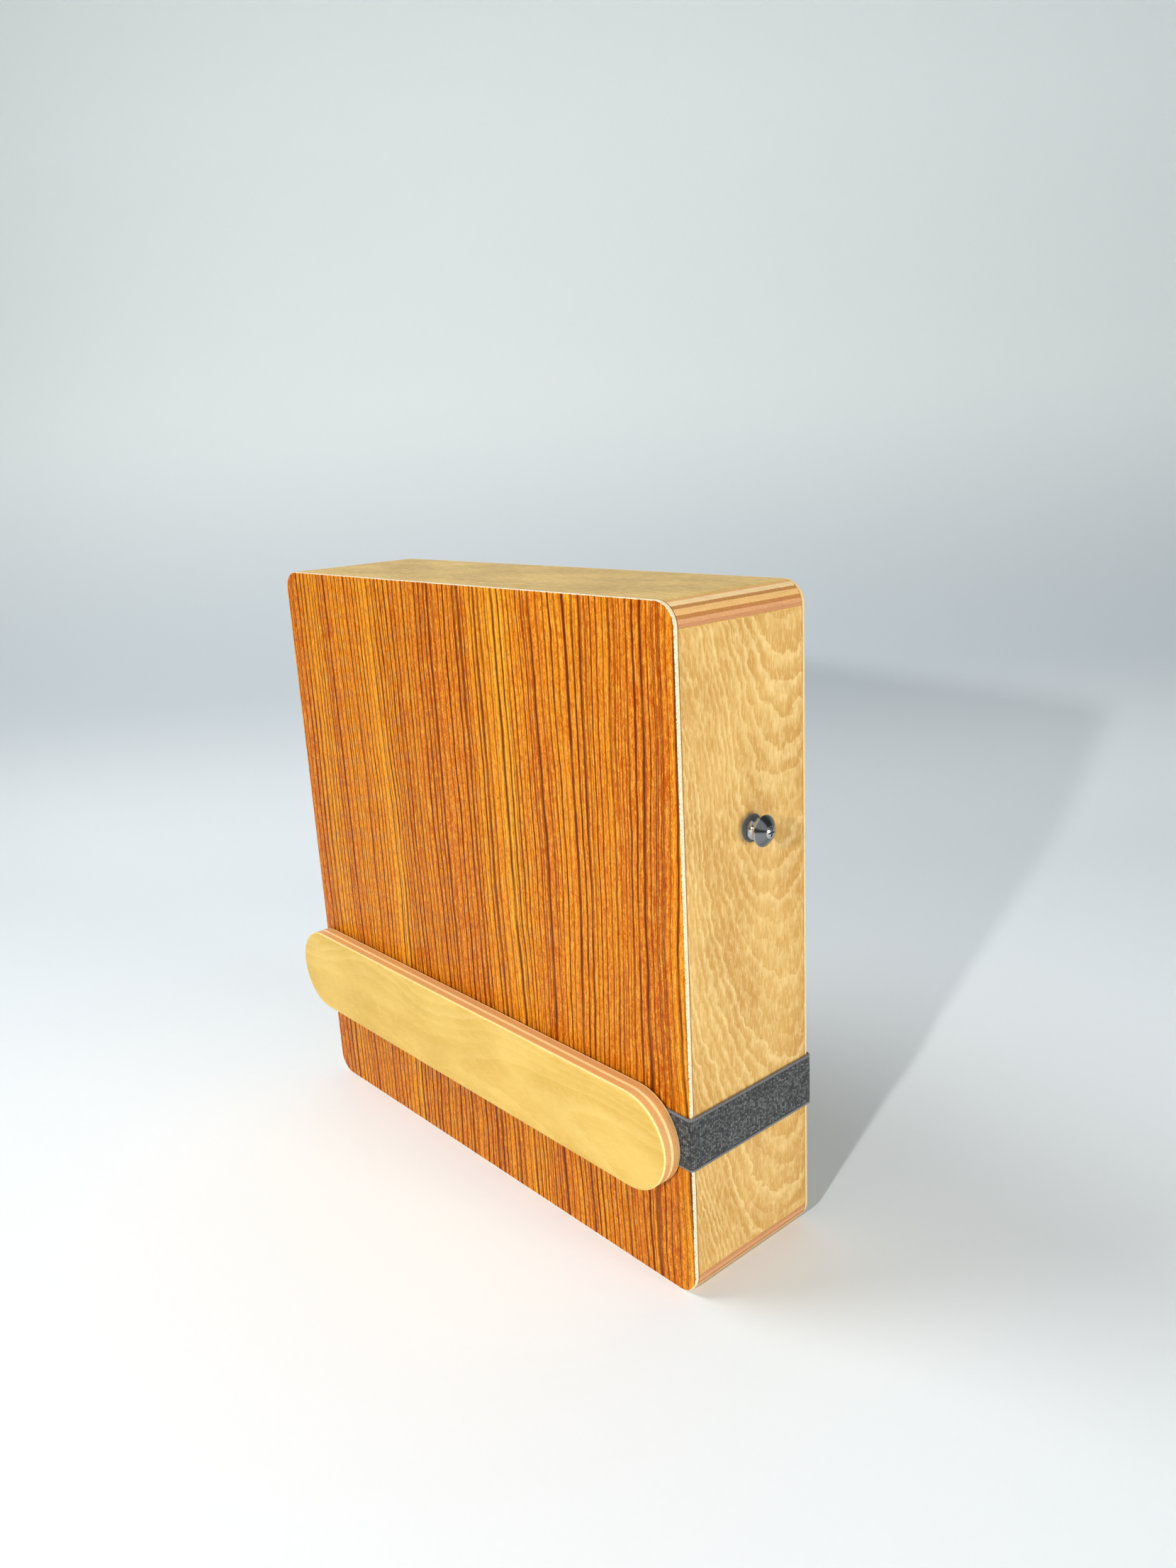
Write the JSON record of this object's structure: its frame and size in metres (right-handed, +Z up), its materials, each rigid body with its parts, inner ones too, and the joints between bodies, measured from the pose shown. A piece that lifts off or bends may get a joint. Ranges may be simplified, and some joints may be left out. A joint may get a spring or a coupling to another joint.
{
  "type": "cajon",
  "caption": "Flat plywood box drum with a striped striking plate, string snare tuned from below, strap buttons and a plywood hold bar on an elastic band.",
  "frame": {"origin": "middle of the box's underside, on the surface that it stands on", "axes": "+X to the right of someone who looks at the striking plate, +Y from the striking plate to the back, +Z up"},
  "size_m": [0.3182, 0.0887, 0.3],
  "materials": {
    "frame_plywood": "pale birch plywood, satin lacquer",
    "striped_veneer": "striped orange-brown veneer, satin lacquer",
    "plate_plywood": "thin pale plywood",
    "back_plywood": "thin birch plywood, satin lacquer",
    "inner_spruce": "planed softwood, unfinished",
    "beech": "planed beech, unfinished",
    "bar_plywood": "pale birch plywood, satin lacquer",
    "string_steel": "wound steel string",
    "brass": "turned brass",
    "zinc_steel": "zinc plated",
    "chrome": "polished nickel chrome",
    "felt": "dark grey felt",
    "elastic": "charcoal woven elastic"
  },
  "bodies": {
    "box": {"top_board": "frame_plywood", "bottom_board": "frame_plywood", "left_side_board": "frame_plywood", "right_side_board": "frame_plywood", "tapa_veneer": "striped_veneer", "tapa_core": "plate_plywood", "back_panel": "back_plywood", "corner_dowels": "beech", "corner_block_top_left": "inner_spruce", "corner_block_top_right": "inner_spruce", "corner_block_bottom_left": "inner_spruce", "corner_block_bottom_right": "inner_spruce", "string_rail": "beech", "tension_block": "beech", "snare_strings_left": "string_steel", "string_ball_ends_left": "brass", "tension_washer_left": "zinc_steel", "strap_felt_left": "felt", "strap_button_left": "chrome", "strap_screw_left": "chrome", "snare_strings_right": "string_steel", "string_ball_ends_right": "brass", "tension_washer_right": "zinc_steel", "strap_felt_right": "felt", "strap_button_right": "chrome", "strap_screw_right": "chrome"},
    "band": {"elastic_band": "elastic"},
    "bar": {"hold_bar": "bar_plywood", "band_end_left": "elastic", "band_end_right": "elastic", "band_staples": "zinc_steel"},
    "tension_screw_left": {"tension_screw_left": "zinc_steel"},
    "tension_screw_right": {"tension_screw_right": "zinc_steel"},
    "string_carrier_left": {"string_carrier_left": "brass"},
    "string_carrier_right": {"string_carrier_right": "brass"}
  },
  "joints": [
    {"name": "band_slide", "type": "slide", "parent": "box", "child": "band", "axis": [0, 0, 1], "range_m": [-0.045, 0.1]},
    {"name": "bar_pull", "type": "slide", "parent": "band", "child": "bar", "axis": [0, -1, 0], "range_m": [0, 0.12], "stiffness_N_per_m": 150, "springref_m": -0.03},
    {"name": "tension_screw_left_turn", "type": "hinge", "parent": "box", "child": "tension_screw_left", "pos_m": [-0.03, -0.02915, 0.0055], "axis": [0, 0, 1], "range_deg": [-1441, 1441]},
    {"name": "string_carrier_left_slide", "type": "slide", "parent": "box", "child": "string_carrier_left", "axis": [0, 0, 1], "range_m": [-0.0032, 0.0032], "deforming": ["snare_strings_left"]},
    {"name": "tension_screw_right_turn", "type": "hinge", "parent": "box", "child": "tension_screw_right", "pos_m": [0.03, -0.02915, 0.0055], "axis": [0, 0, 1], "range_deg": [-1441, 1441]},
    {"name": "string_carrier_right_slide", "type": "slide", "parent": "box", "child": "string_carrier_right", "axis": [0, 0, 1], "range_m": [-0.0032, 0.0032], "deforming": ["snare_strings_right"]}
  ],
  "couplings": [
    {"joint": "tension_screw_left_turn", "follows": "string_carrier_left_slide", "rad_per_m": -7854},
    {"joint": "tension_screw_right_turn", "follows": "string_carrier_right_slide", "rad_per_m": -7854}
  ]
}
